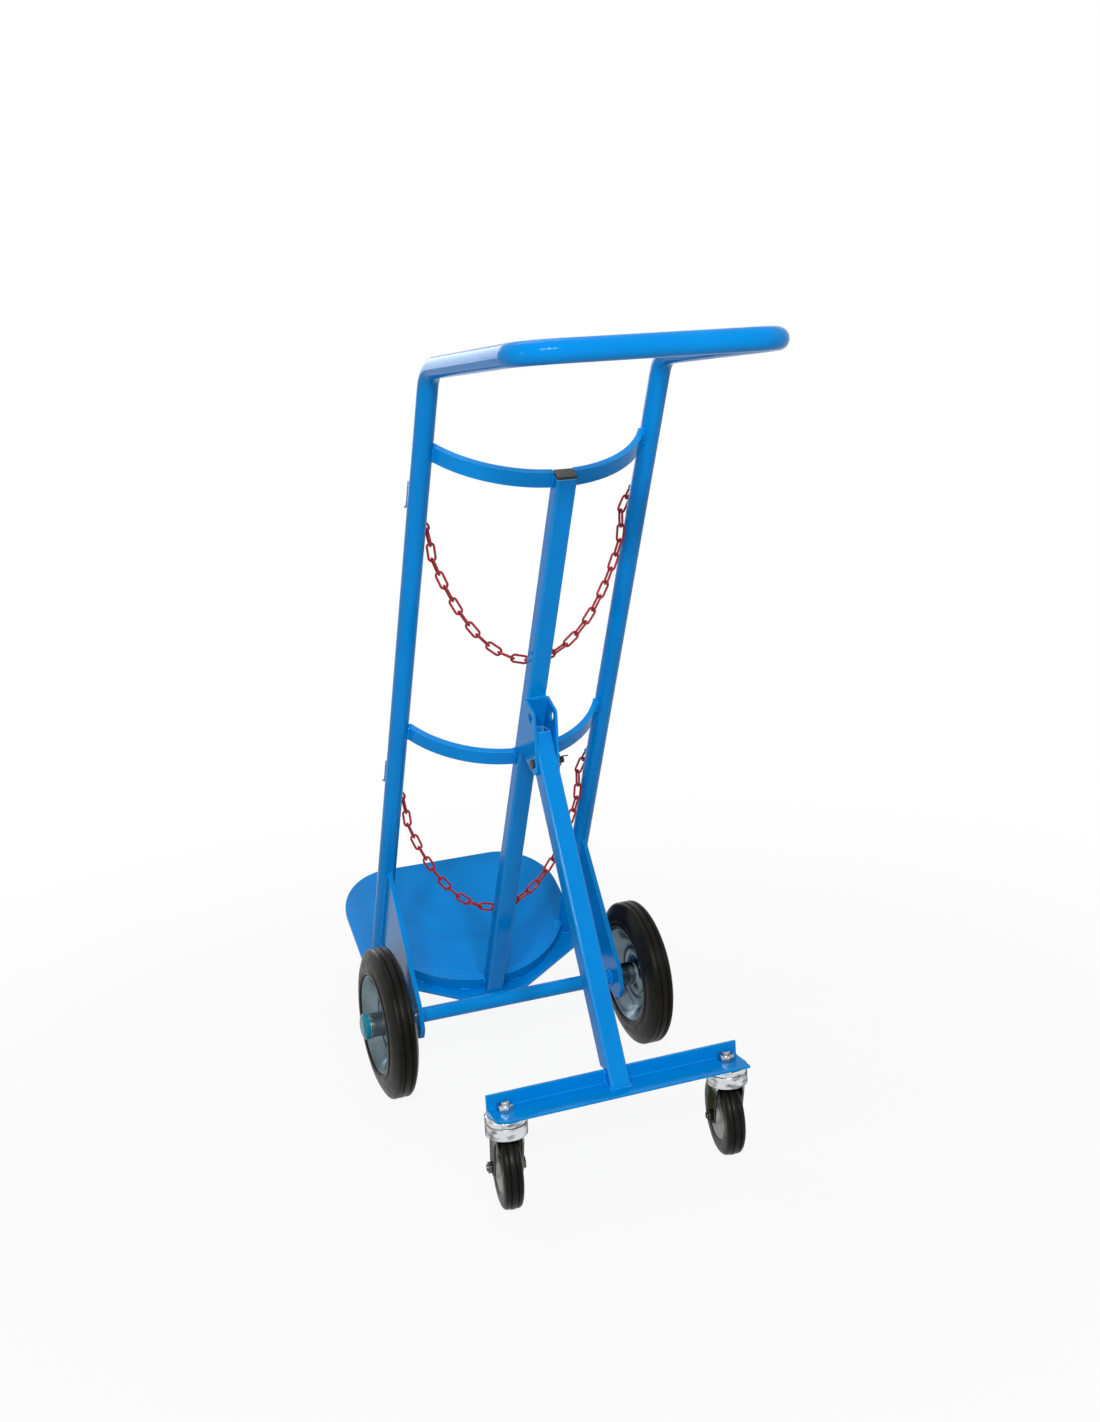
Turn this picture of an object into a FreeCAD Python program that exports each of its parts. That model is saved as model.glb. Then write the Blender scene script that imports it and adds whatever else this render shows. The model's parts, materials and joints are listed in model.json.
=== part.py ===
import FreeCAD, Part
import math
import os

# Gas cylinder trolley, parked leaning back on its prop leg.
# X is across the trolley, Y points forward to the cylinder side, Z is up from the floor.
# The leaning pieces are drawn in the trolley's own axes: x across, v forward, w along the uprights,
# with the middle of the axle at zero. The prop leg and castors are drawn level with the floor.

V = FreeCAD.Vector

# Parked position
LEAN_DEG = 26.7
WHEEL_R = 100.0

# Fits and clearances
RUNNING_FIT = 0.08
PIVOT_FIT = 0.06
BEARING_GAP = 0.3
SIDE_PLAY = 0.5
BALL_GAP = 0.15

# Frame tube
TUBE_OD = 25.0
TUBE_WALL = 2.0
UPRIGHT_X = 145.0
UPRIGHT_V = 164.0
UPRIGHT_CORNER_W = 893.6
ARM_LENGTH = 310.0
ARM_RISE_DEG = 30.0
TUBE_BEND_R = 40.0

# Base plate
PLATE_TOP_W = -66.0
PLATE_THICK = 4.0
PLATE_HALF_WIDTH = 166.5
PLATE_FRONT_V = 346.0
PLATE_FRONT_R = 84.0
PLATE_SIDE_END_V = 137.0
PLATE_REAR_V = 60.0
PLATE_REAR_HALF = 33.5
PLATE_CORNER_R = 10.0
SEAT_MARGIN = 2.0
SEAT_DEEP = 1.0

# Mast, cradles and base rim
MAST_WIDE = 25.0
MAST_DEEP = 20.0
MAST_WALL = 2.0
MAST_CORNER_R = 2.5
MAST_FRONT_V = 87.5
CAP_LID = 3.0
CAP_PLUG = 12.0
CRADLE_R = 146.0
BAND_THICK = 8.0
BAND_HIGH = 20.0
UPPER_CRADLE_TOP_W = 795.0
LOWER_CRADLE_TOP_W = 377.0

# Gussets and axle
GUSSET_THICK = 6.0
GUSSET_TOP_W = 125.0
GUSSET_BOTTOM_W = -2.0
AXLE_R = 10.0
AXLE_PAST_WASHER = 6.2
WASHER_R = 17.0
WASHER_THICK = 2.5

# Road wheels
WHEEL_X = 183.0
HUB_R = 16.0
HUB_IN = 29.0
HUB_OUT = 24.0
BUSH_WALL = 3.0
RIM_SHEET = 2.0
RIM_DISC_R = 46.0
RIM_LIP_R = 66.0
RIM_LIP_HALF = 18.5
TYRE_HALF = 20.5
TREAD_HALF = 9.5
CAP_R = 17.0
CAP_WALL = 3.0

# Leg bracket, pivot pin and split pin
BRACKET_SHEET = 3.0
BRACKET_BOTTOM_W = 398.0
BRACKET_HIGH = 76.0
BRACKET_TOP_REACH = 30.5
BRACKET_LOW_REACH = 67.5
BRACKET_CORNER_R = 7.0
PIN_V = 16.0
PIN_UP = 13.0
PIN_R = 4.0
PIN_HEAD_R = 5.8
PIN_HEAD_THICK = 3.0
PIN_TAIL = 8.0
LOCK_HOLE_V = 45.0
LOCK_HOLE_DOWN = 14.0
LOCK_HOLE_R = 5.5
LOCK_HOLE_LONG = 3.0
SPLIT_PIN_WIRE_R = 0.8
SPLIT_PIN_EYE = 2.4
SPLIT_PIN_END = 9.0

# Prop leg and castor beam
LEG_SIDE = 25.0
LEG_WALL = 2.0
LEG_CORNER_R = 2.5
LEG_REAR_TOP = 36.0
LEG_FOOT_AHEAD = 4.0
STEM_Y = -360.6
CASTOR_HIGH = 121.0
BEAM_FLAT = 40.0
BEAM_UPRIGHT = 20.0
BEAM_THICK = 3.0
BEAM_FILLET = 2.0
BEAM_LENGTH = 323.0
BEAM_CORNER_AHEAD = 14.0
BEAM_CUT = 9.0

# Castors
STEM_X = 142.5
STEM_R = 5.0
NUT_FLATS = 17.0
NUT_HIGH = 8.0
STEM_SHOWING = 3.0
HEAD_HIGH = 5.5
RACE_R = 25.0
RACE_HIGH = 8.0
RACE_SPLIT = 1.0
CROWN_R = 25.0
CROWN_HIGH = 15.0
CROWN_TOP = 4.0
CROWN_WALL = 3.0
BALL_R = 2.75
BALL_CIRCLE_R = 16.0
BALL_COUNT = 14
CASTOR_WHEEL_R = 50.0
CASTOR_TRAIL = 13.0
PARKED_SWIVEL_DEG = 171.5
CASTOR_HALF = 12.0
CASTOR_CORE_R = 30.0
CASTOR_BOSS_R = 11.0
FORK_SHEET = 2.5
FORK_GAP = 3.5
FORK_ROOM = 2.5
FORK_TOP_HALF = 13.0
FORK_FOOT_R = 9.0
CASTOR_AXLE_R = 4.0
CASTOR_NUT_FLATS = 13.0
CASTOR_NUT_HIGH = 4.0

# Chains
LINK_WIRE = 3.0
LINK_PITCH = 18.8
LINK_INSIDE = 19.1
LINK_WIDE = 12.0
LINKS_EACH_SIDE = 14
UPPER_CHAIN_W = 700.0
LOWER_CHAIN_W = 268.0
EYE_AHEAD = 7.5
EYE_ROD_R = 2.0
EYE_HALF = 6.0
EYE_BEND_R = 3.5
HOOK_SHANK = 40.0
HOOK_SHANK_OUT = 9.0
HOOK_INSIDE = 8.0
HOOK_TIP = 9.0

# Derived places
lean = math.radians(LEAN_DEG)
rise = math.radians(ARM_RISE_DEG)
tube_r = TUBE_OD / 2.0
axle_z = WHEEL_R
handle_v = UPRIGHT_V - ARM_LENGTH * math.cos(rise)
handle_w = UPRIGHT_CORNER_W + ARM_LENGTH * math.sin(rise)
plate_low_w = PLATE_TOP_W - PLATE_THICK
rear_y = handle_v * math.cos(lean) - handle_w * math.sin(lean) - tube_r
front_y = PLATE_FRONT_V * math.cos(lean) - plate_low_w * math.sin(lean)
shift_y = -(rear_y + front_y) / 2.0
mast_rear_v = MAST_FRONT_V - MAST_DEEP
cradle_v = MAST_FRONT_V + CRADLE_R
gusset_in = UPRIGHT_X - GUSSET_THICK / 2.0
gusset_out = UPRIGHT_X + GUSSET_THICK / 2.0
eye_v = UPRIGHT_V + tube_r + EYE_AHEAD
bracket_top_w = BRACKET_BOTTOM_W + BRACKET_HIGH
pin_w = BRACKET_BOTTOM_W + PIN_UP
lock_hole_w = bracket_top_w - LOCK_HOLE_DOWN
hub_inner_x = WHEEL_X - HUB_IN
hub_outer_x = WHEEL_X + HUB_OUT
outer_washer_x = hub_outer_x + BEARING_GAP
axle_half = outer_washer_x + WASHER_THICK + AXLE_PAST_WASHER


def unit(vector):
    return vector * (1.0 / vector.Length)


def bend(before, here, after, radius):
    """Start, middle and end of the arc that rounds one corner."""
    back = unit(before - here)
    ahead = unit(after - here)
    half = back.getAngle(ahead) / 2.0
    middle_line = unit(back + ahead)
    reach = radius / math.tan(half)
    centre = here + middle_line * (radius / math.sin(half))
    return here + back * reach, centre - middle_line * radius, here + ahead * reach


def rounded_edges(points, radii, closed):
    """Straight and arc edges through the points, each corner rounded by its radius."""
    count = len(points)
    stops = []
    for i in range(count):
        turns = closed or 0 < i < count - 1
        if turns and radii[i] > 0:
            stops.append(bend(points[i - 1], points[i], points[(i + 1) % count], radii[i]))
        else:
            stops.append((points[i], None, points[i]))
    last = count if closed else count - 1
    edges = []
    for i in range(count):
        start, middle, end = stops[i]
        if middle is not None:
            edges.append(Part.Arc(start, middle, end).toShape())
        if i < last:
            following = stops[(i + 1) % count][0]
            if end.distanceToPoint(following) > 1e-6:
                edges.append(Part.makeLine(end, following))
    return edges


def plate(points, radii, sweep):
    """Flat outline pushed along the sweep."""
    return Part.Face(Part.Wire(rounded_edges(points, radii, True))).extrude(sweep)


def side_plate(outline, radii, x_from, x_to):
    """Plate that stands across X, its outline given as (y, z) pairs."""
    return plate([V(x_from, y, z) for y, z in outline], radii, V(x_to - x_from, 0, 0))


def flat_plate(outline, radii, z_from, z_to):
    """Plate that lies across Z, its outline given as (x, y) pairs."""
    return plate([V(x, y, z_from) for x, y in outline], radii, V(0, 0, z_to - z_from))


def pipe(points, radii, radius):
    """Round bar bent along the points."""
    path = Part.Wire(rounded_edges(points, radii, False))
    ring = Part.Wire(Part.makeCircle(radius, points[0], unit(points[1] - points[0])))
    return path.makePipeShell([ring], True, False)


def square_tube(wide, deep, wall, corner, low, high):
    """Rectangular tube along Z about the origin, with rounded corners."""
    solids = []
    for inset in (0.0, wall):
        a = wide / 2.0 - inset
        b = deep / 2.0 - inset
        r = max(corner - inset, 0.5)
        outline = [(-a, -b), (a, -b), (a, b), (-a, b)]
        solids.append(flat_plate(outline, [r] * 4, low, high))
    return solids[0].cut(solids[1])


def turned_x(profile):
    """Ring turned about X from (x, r) pairs."""
    points = [V(x, 0, r) for x, r in profile]
    face = Part.Face(Part.makePolygon(points + [points[0]]))
    return face.revolve(V(0, 0, 0), V(1, 0, 0), 360)


def turned_z(profile):
    """Ring turned about Z from (r, z) pairs."""
    points = [V(r, 0, z) for r, z in profile]
    face = Part.Face(Part.makePolygon(points + [points[0]]))
    return face.revolve(V(0, 0, 0), V(0, 0, 1), 360)


def rod_x(radius, x_from, x_to, y, z):
    low = min(x_from, x_to)
    return Part.makeCylinder(radius, abs(x_to - x_from), V(low, y, z), V(1, 0, 0))


def hexagon(flats, high, at, axis):
    """Hexagon bar along an axis from a point."""
    r = flats / math.sqrt(3.0)
    points = [V(r * math.cos(math.radians(60 * k)), r * math.sin(math.radians(60 * k)), 0) for k in range(6)]
    bar = Part.Face(Part.makePolygon(points + [points[0]])).extrude(V(0, 0, high))
    bar.Placement = FreeCAD.Placement(at, FreeCAD.Rotation(V(0, 0, 1), axis))
    return bar


def flipped(outline, side):
    return [(side * x, y) for x, y in outline]


def tilt(shape):
    """From the trolley's own axes to the parked position."""
    placed = shape.copy()
    placed.rotate(V(0, 0, 0), V(1, 0, 0), LEAN_DEG)
    placed.translate(V(0, shift_y, axle_z))
    return placed


def level(shape):
    """From floor height, measured behind the axle, to the parked position."""
    placed = shape.copy()
    placed.translate(V(0, shift_y, 0))
    return placed


def save(name, shape):
    shape.exportStep("parts/" + name + ".step")


os.makedirs("parts", exist_ok=True)

# Frame tube
corners = [
    V(-UPRIGHT_X, UPRIGHT_V, PLATE_TOP_W),
    V(-UPRIGHT_X, UPRIGHT_V, UPRIGHT_CORNER_W),
    V(-UPRIGHT_X, handle_v, handle_w),
    V(UPRIGHT_X, handle_v, handle_w),
    V(UPRIGHT_X, UPRIGHT_V, UPRIGHT_CORNER_W),
    V(UPRIGHT_X, UPRIGHT_V, PLATE_TOP_W),
]
bends = [TUBE_BEND_R] * len(corners)
tube = pipe(corners, bends, tube_r).cut(pipe(corners, bends, tube_r - TUBE_WALL))
save("frame_tube", tilt(tube))


def upright_bar(side):
    """Full bar that an upright takes out of the pieces welded to it."""
    high = UPRIGHT_CORNER_W - PLATE_TOP_W
    return Part.makeCylinder(tube_r, high, V(side * UPRIGHT_X, UPRIGHT_V, PLATE_TOP_W))


# Base plate
half_outline = [
    (PLATE_REAR_HALF, PLATE_REAR_V),
    (PLATE_HALF_WIDTH, PLATE_SIDE_END_V),
    (PLATE_HALF_WIDTH, PLATE_FRONT_V),
]
plate_outline = half_outline + flipped(half_outline[::-1], -1)
plate_radii = [PLATE_CORNER_R, PLATE_CORNER_R, PLATE_FRONT_R, PLATE_FRONT_R, PLATE_CORNER_R, PLATE_CORNER_R]
base = flat_plate(plate_outline, plate_radii, plate_low_w, PLATE_TOP_W)
# The cylinder's seat is marked off as a face of its own inside the rim
seat_mark = Part.makeCylinder(CRADLE_R - SEAT_MARGIN, SEAT_DEEP, V(0, cradle_v, PLATE_TOP_W - SEAT_DEEP))
base = base.fuse(seat_mark.common(base))
save("base_plate", tilt(base))

# Mast and its cap
mast_v = MAST_FRONT_V - MAST_DEEP / 2.0
mast_top_w = UPPER_CRADLE_TOP_W - CAP_LID
mast = square_tube(MAST_WIDE, MAST_DEEP, MAST_WALL, MAST_CORNER_R, PLATE_TOP_W, mast_top_w)
mast.translate(V(0, mast_v, 0))
save("mast", tilt(mast))
lid_x = MAST_WIDE / 2.0
lid_y = MAST_DEEP / 2.0
lid_outline = [(-lid_x, -lid_y), (lid_x, -lid_y), (lid_x, lid_y), (-lid_x, lid_y)]
lid = flat_plate(lid_outline, [MAST_CORNER_R] * 4, mast_top_w, UPPER_CRADLE_TOP_W)
plug_x = lid_x - MAST_WALL - RUNNING_FIT
plug_y = lid_y - MAST_WALL - RUNNING_FIT
plug_outline = [(-plug_x, -plug_y), (plug_x, -plug_y), (plug_x, plug_y), (-plug_x, plug_y)]
plug = flat_plate(plug_outline, [MAST_CORNER_R - MAST_WALL] * 4, mast_top_w - CAP_PLUG, mast_top_w)
cap = lid.fuse(plug)
cap.translate(V(0, mast_v, 0))
save("mast_cap", tilt(cap))


def half_band(side, top_w):
    """Half of a bent flat bar, from the side of the mast to the upright."""
    low = top_w - BAND_HIGH
    centre = V(0, cradle_v, low)
    ring = Part.makeCylinder(CRADLE_R + BAND_THICK, BAND_HIGH, centre)
    ring = ring.cut(Part.makeCylinder(CRADLE_R, BAND_HIGH, centre))
    reach = UPRIGHT_X - MAST_WIDE / 2.0
    x_low = MAST_WIDE / 2.0 if side > 0 else -UPRIGHT_X
    span = Part.makeBox(reach, UPRIGHT_V, BAND_HIGH, V(x_low, 0, low))
    return ring.common(span).cut(upright_bar(side))


base_rim_top_w = PLATE_TOP_W + BAND_HIGH
bands = (("upper_cradle", UPPER_CRADLE_TOP_W), ("lower_cradle", LOWER_CRADLE_TOP_W), ("base_rim", base_rim_top_w))
for band, top_w in bands:
    save(band + "_left", tilt(half_band(-1, top_w)))
    save(band + "_right", tilt(half_band(1, top_w)))

# Gussets, axle and washers
gusset_outline = [
    (UPRIGHT_V, GUSSET_BOTTOM_W),
    (UPRIGHT_V, GUSSET_TOP_W + 7.0),
    (UPRIGHT_V - tube_r, GUSSET_TOP_W),
    (-18.0, 34.0),
    (-36.0, 13.0),
    (-36.0, -3.0),
    (-23.0, -16.0),
    (9.0, -16.0),
    (16.0, GUSSET_BOTTOM_W),
]
gusset_radii = [0, 0, 0, 10.0, 6.0, 5.0, 5.0, 4.0, 4.0]
for name, side in (("left", -1), ("right", 1)):
    gusset = side_plate(gusset_outline, gusset_radii, side * gusset_in, side * gusset_out)
    gusset = gusset.cut(upright_bar(side))
    gusset = gusset.cut(rod_x(AXLE_R, side * gusset_in, side * gusset_out, 0, 0))
    save(name + "_gusset", tilt(gusset))
save("axle", tilt(rod_x(AXLE_R, -axle_half, axle_half, 0, 0)))

washer_bore = AXLE_R + RUNNING_FIT
washers = []
for side in (-1, 1):
    packed = gusset_out
    while packed + WASHER_THICK < hub_inner_x:
        ring = rod_x(WASHER_R, side * packed, side * (packed + WASHER_THICK), 0, 0)
        washers.append(ring.cut(rod_x(washer_bore, side * packed, side * (packed + WASHER_THICK), 0, 0)))
        packed = packed + WASHER_THICK
    ring = rod_x(WASHER_R, side * outer_washer_x, side * (outer_washer_x + WASHER_THICK), 0, 0)
    washers.append(ring.cut(rod_x(washer_bore, side * outer_washer_x, side * (outer_washer_x + WASHER_THICK), 0, 0)))
save("axle_washers", tilt(Part.makeCompound(washers)))

# Road wheels, each section given as (distance from the wheel's middle plane, radius)
bed_r = RIM_LIP_R - 6.0
rim_half = [
    (RIM_SHEET / 2.0, RIM_DISC_R),
    (RIM_LIP_HALF - 1.5, RIM_LIP_R - 3.5),
    (RIM_LIP_HALF, RIM_LIP_R),
    (RIM_LIP_HALF - RIM_SHEET, RIM_LIP_R),
    (RIM_LIP_HALF - RIM_SHEET - 2.0, RIM_LIP_R - 1.5),
]
rim_section = [(-RIM_SHEET / 2.0, HUB_R), (RIM_SHEET / 2.0, HUB_R)] + rim_half
rim_section = rim_section + [(0, RIM_DISC_R + 1.5 * RIM_SHEET)] + flipped(rim_half[::-1], -1)
tyre_half = [
    (RIM_LIP_HALF - RIM_SHEET - 7.0, bed_r),
    (RIM_LIP_HALF - RIM_SHEET - 2.0, RIM_LIP_R - 1.5 + BEARING_GAP),
    (RIM_LIP_HALF - RIM_SHEET - BEARING_GAP, RIM_LIP_R + BEARING_GAP),
    (TYRE_HALF - 0.5, RIM_LIP_R + BEARING_GAP),
    (TYRE_HALF, RIM_LIP_R + 6.0),
    (TYRE_HALF, RIM_LIP_R + 8.5),
    (TYRE_HALF - 1.2, RIM_LIP_R + 9.5),
    (TYRE_HALF - 2.5, WHEEL_R - 16.0),
    (TYRE_HALF - 4.4, WHEEL_R - 11.5),
    (TYRE_HALF - 6.5, WHEEL_R - 7.0),
    (TYRE_HALF - 9.1, WHEEL_R - 2.0),
    (TREAD_HALF, WHEEL_R),
    (TREAD_HALF - 3.5, WHEEL_R),
    (TREAD_HALF - 4.2, WHEEL_R - 2.0),
    (TREAD_HALF - 5.8, WHEEL_R - 2.0),
    (TREAD_HALF - 6.5, WHEEL_R),
]
tyre_section = tyre_half + flipped(tyre_half[::-1], -1)
hub_section = [(-HUB_IN, HUB_R - BUSH_WALL), (HUB_OUT, HUB_R - BUSH_WALL), (HUB_OUT, HUB_R), (-HUB_IN, HUB_R)]
bush_bore = AXLE_R + RUNNING_FIT
bush_section = [(-HUB_IN, bush_bore), (HUB_OUT, bush_bore)]
bush_section = bush_section + [(HUB_OUT, HUB_R - BUSH_WALL), (-HUB_IN, HUB_R - BUSH_WALL)]
cap_in = outer_washer_x + WASHER_THICK - WHEEL_X
cap_out = axle_half + CAP_WALL - WHEEL_X
cap_section = [
    (cap_in, AXLE_R),
    (axle_half - WHEEL_X, AXLE_R),
    (axle_half - WHEEL_X, 0),
    (cap_out, 0),
    (cap_out, CAP_R - 6.0),
    (cap_out - 1.0, CAP_R - 2.5),
    (cap_out - 3.0, CAP_R),
    (cap_in, CAP_R),
]
wheel_sections = (
    ("tyre", tyre_section),
    ("rim", rim_section),
    ("hub", hub_section),
    ("bush", bush_section),
    ("hub_cap", cap_section),
)
for name, side in (("left", -1), ("right", 1)):
    for piece, section in wheel_sections:
        ring = turned_x([(side * (WHEEL_X + e), r) for e, r in section])
        save(name + "_" + piece, tilt(ring))

# Leg bracket
flange_in = LEG_SIDE / 2.0 + SIDE_PLAY
flange_out = flange_in + BRACKET_SHEET
web_v = mast_rear_v - BRACKET_SHEET
bracket_outline = [
    (mast_rear_v, BRACKET_BOTTOM_W),
    (mast_rear_v, bracket_top_w),
    (mast_rear_v - BRACKET_TOP_REACH, bracket_top_w),
    (mast_rear_v - BRACKET_LOW_REACH, BRACKET_BOTTOM_W),
]
bracket_radii = [0, 0, BRACKET_CORNER_R, BRACKET_CORNER_R]
bracket = side_plate(bracket_outline, bracket_radii, -flange_out, flange_out)
room_low = BRACKET_BOTTOM_W - BRACKET_SHEET
room_high = bracket_top_w - BRACKET_BOTTOM_W + 2.0 * BRACKET_SHEET
room_deep = BRACKET_LOW_REACH + BRACKET_SHEET
bracket = bracket.cut(Part.makeBox(2.0 * flange_in, room_deep, room_high, V(-flange_in, web_v - room_deep, room_low)))
bracket = bracket.cut(rod_x(PIN_R + PIVOT_FIT, -flange_out, flange_out, PIN_V, pin_w))
slot_outline = [
    (LOCK_HOLE_V - LOCK_HOLE_R, lock_hole_w - LOCK_HOLE_R - LOCK_HOLE_LONG / 2.0),
    (LOCK_HOLE_V + LOCK_HOLE_R, lock_hole_w - LOCK_HOLE_R - LOCK_HOLE_LONG / 2.0),
    (LOCK_HOLE_V + LOCK_HOLE_R, lock_hole_w + LOCK_HOLE_R + LOCK_HOLE_LONG / 2.0),
    (LOCK_HOLE_V - LOCK_HOLE_R, lock_hole_w + LOCK_HOLE_R + LOCK_HOLE_LONG / 2.0),
]
bracket = bracket.cut(side_plate(slot_outline, [LOCK_HOLE_R] * 4, -flange_out, flange_out))
save("leg_bracket", tilt(bracket))

# Pivot pin, and the split pin through its end with one leg bent outwards and one forwards
split_x = flange_out + PIN_TAIL / 2.0
split_leg = SPLIT_PIN_WIRE_R + PIVOT_FIT
split_hole_r = 2.0 * SPLIT_PIN_WIRE_R + 3.0 * PIVOT_FIT
pin = rod_x(PIN_R, -flange_out, flange_out + PIN_TAIL, PIN_V, pin_w)
pin = pin.fuse(rod_x(PIN_HEAD_R, -flange_out - PIN_HEAD_THICK, -flange_out, PIN_V, pin_w))
pin = pin.cut(Part.makeCylinder(split_hole_r, 4.0 * PIN_R, V(split_x, PIN_V, pin_w - 2.0 * PIN_R)))
save("pivot_pin", tilt(pin))
above_w = pin_w + PIN_R + 2.0 * SPLIT_PIN_WIRE_R
below_w = pin_w - PIN_R - SPLIT_PIN_WIRE_R
split_path = [
    V(split_x + split_leg + SPLIT_PIN_END, PIN_V, above_w),
    V(split_x + split_leg, PIN_V, above_w),
    V(split_x + split_leg, PIN_V, below_w),
    V(split_x + SPLIT_PIN_EYE, PIN_V, below_w - SPLIT_PIN_EYE),
    V(split_x, PIN_V, below_w - 2.5 * SPLIT_PIN_EYE),
    V(split_x - SPLIT_PIN_EYE, PIN_V, below_w - SPLIT_PIN_EYE),
    V(split_x - split_leg, PIN_V, below_w),
    V(split_x - split_leg, PIN_V, above_w),
    V(split_x - split_leg, PIN_V + SPLIT_PIN_END, above_w),
]
split_radii = [0, 1.2, 1.2, 1.2, 1.2, 1.2, 1.2, 1.2, 0]
save("split_pin", tilt(pipe(split_path, split_radii, SPLIT_PIN_WIRE_R)))

# Chain eyes on the right upright and chain hooks on the left one
eyes = []
hooks = []
for end_w in (UPPER_CHAIN_W, LOWER_CHAIN_W):
    root_v = UPRIGHT_V + math.sqrt(tube_r ** 2 - (EYE_HALF + EYE_ROD_R) ** 2)
    eye_path = [
        V(UPRIGHT_X - EYE_HALF, root_v, end_w),
        V(UPRIGHT_X - EYE_HALF, eye_v, end_w),
        V(UPRIGHT_X + EYE_HALF, eye_v, end_w),
        V(UPRIGHT_X + EYE_HALF, root_v, end_w),
    ]
    eyes.append(pipe(eye_path, [EYE_BEND_R] * 4, EYE_ROD_R).cut(upright_bar(1)))
    shank_x = -UPRIGHT_X - HOOK_SHANK_OUT
    shank_v = UPRIGHT_V + math.sqrt((tube_r + EYE_ROD_R) ** 2 - HOOK_SHANK_OUT ** 2)
    tip_x = -UPRIGHT_X + HOOK_INSIDE
    hook_path = [
        V(shank_x, shank_v, end_w + HOOK_SHANK),
        V(shank_x, shank_v, end_w + 2.0 * EYE_BEND_R),
        V(shank_x, eye_v, end_w),
        V(tip_x, eye_v, end_w),
        V(tip_x, eye_v + HOOK_TIP / 2.0, end_w + HOOK_TIP),
    ]
    hook_radii = [0, EYE_BEND_R, EYE_BEND_R, EYE_BEND_R, 0]
    hooks.append(pipe(hook_path, hook_radii, EYE_ROD_R).cut(upright_bar(-1)))
save("chain_eyes", tilt(Part.makeCompound(eyes)))
save("chain_hooks", tilt(Part.makeCompound(hooks)))

# One chain link, its length along X and its width along Y
link_arc_r = (LINK_WIDE - LINK_WIRE) / 2.0
link_straight = LINK_INSIDE / 2.0 - (LINK_WIDE / 2.0 - LINK_WIRE)
wire_r = LINK_WIRE / 2.0
link_pieces = []
for end in (-1, 1):
    section = Part.Face(Part.Wire(Part.makeCircle(wire_r, V(end * link_straight, link_arc_r, 0), V(1, 0, 0))))
    link_pieces.append(section.revolve(V(end * link_straight, 0, 0), V(0, 0, -end), 180))
    bar_from = V(-link_straight, end * link_arc_r, 0)
    link_pieces.append(Part.makeCylinder(wire_r, 2.0 * link_straight, bar_from, V(1, 0, 0)))
link = link_pieces[0].fuse(link_pieces[1:]).removeSplitter()

# Line of a hanging chain: it hangs from the uprights' fronts, bends round them and leans on the mast
lowest_v = MAST_FRONT_V + LINK_WIDE / 2.0 + BEARING_GAP
round_tube_r = tube_r + LINK_WIDE / 2.0 + 3.0 * BEARING_GAP
crown_rest = LINK_PITCH / 2.0 - (LINK_INSIDE / 2.0 - EYE_ROD_R - BEARING_GAP)


def chain_point(slack, x):
    """Place of the chain's line over one half of its span, measured from its end."""
    depth = slack * (math.cosh(UPRIGHT_X / slack) - 1.0)
    drop = depth - slack * (math.cosh(x / slack) - 1.0)
    back = (eye_v - lowest_v) / depth
    v = eye_v - drop * back
    w = crown_rest - drop * math.sqrt(1.0 - back * back)
    aside = V(x - UPRIGHT_X, v - UPRIGHT_V, 0)
    if aside.Length < round_tube_r:
        aside = unit(aside) * round_tube_r
    return V(UPRIGHT_X + aside.x, UPRIGHT_V + aside.y, w)


def next_x(slack, x):
    """Place across the span of the next link joint outwards."""
    here = chain_point(slack, x)
    low = x
    high = x + LINK_PITCH
    for i in range(60):
        middle = (low + high) / 2.0
        if here.distanceToPoint(chain_point(slack, middle)) < LINK_PITCH:
            low = middle
        else:
            high = middle
    return low


def half_joints(slack):
    places = [LINK_PITCH / 2.0]
    for i in range(LINKS_EACH_SIDE):
        places.append(next_x(slack, places[-1]))
    return places


tight = UPRIGHT_X / 4.0
loose = UPRIGHT_X
for i in range(60):
    slack = (tight + loose) / 2.0
    if half_joints(slack)[-1] < UPRIGHT_X:
        tight = slack
    else:
        loose = slack
half = [chain_point(slack, x) for x in half_joints(slack)]
joints = [V(-p.x, p.y, p.z) for p in half[::-1]] + half
depth = half[-1].z - half[0].z
away = unit(V(0, depth, -(half[-1].y - half[0].y)))
chain_links = []
for i in range(len(joints) - 1):
    along = unit(joints[i + 1] - joints[i])
    across = unit(away - along * away.dot(along))
    if i % 2 == 1:
        across = along.cross(across)
    third = along.cross(across)
    middle = (joints[i] + joints[i + 1]) * 0.5
    turn = FreeCAD.Matrix(
        along.x, across.x, third.x, middle.x,
        along.y, across.y, third.y, middle.y,
        along.z, across.z, third.z, middle.z,
        0, 0, 0, 1,
    )
    placed = link.copy()
    placed.Placement = FreeCAD.Placement(turn)
    chain_links.append(placed)
for name, end_w in (("upper_chain", UPPER_CHAIN_W), ("lower_chain", LOWER_CHAIN_W)):
    chain = Part.makeCompound([piece.copy() for piece in chain_links])
    chain.translate(V(0, 0, end_w))
    save(name, tilt(chain))

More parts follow.
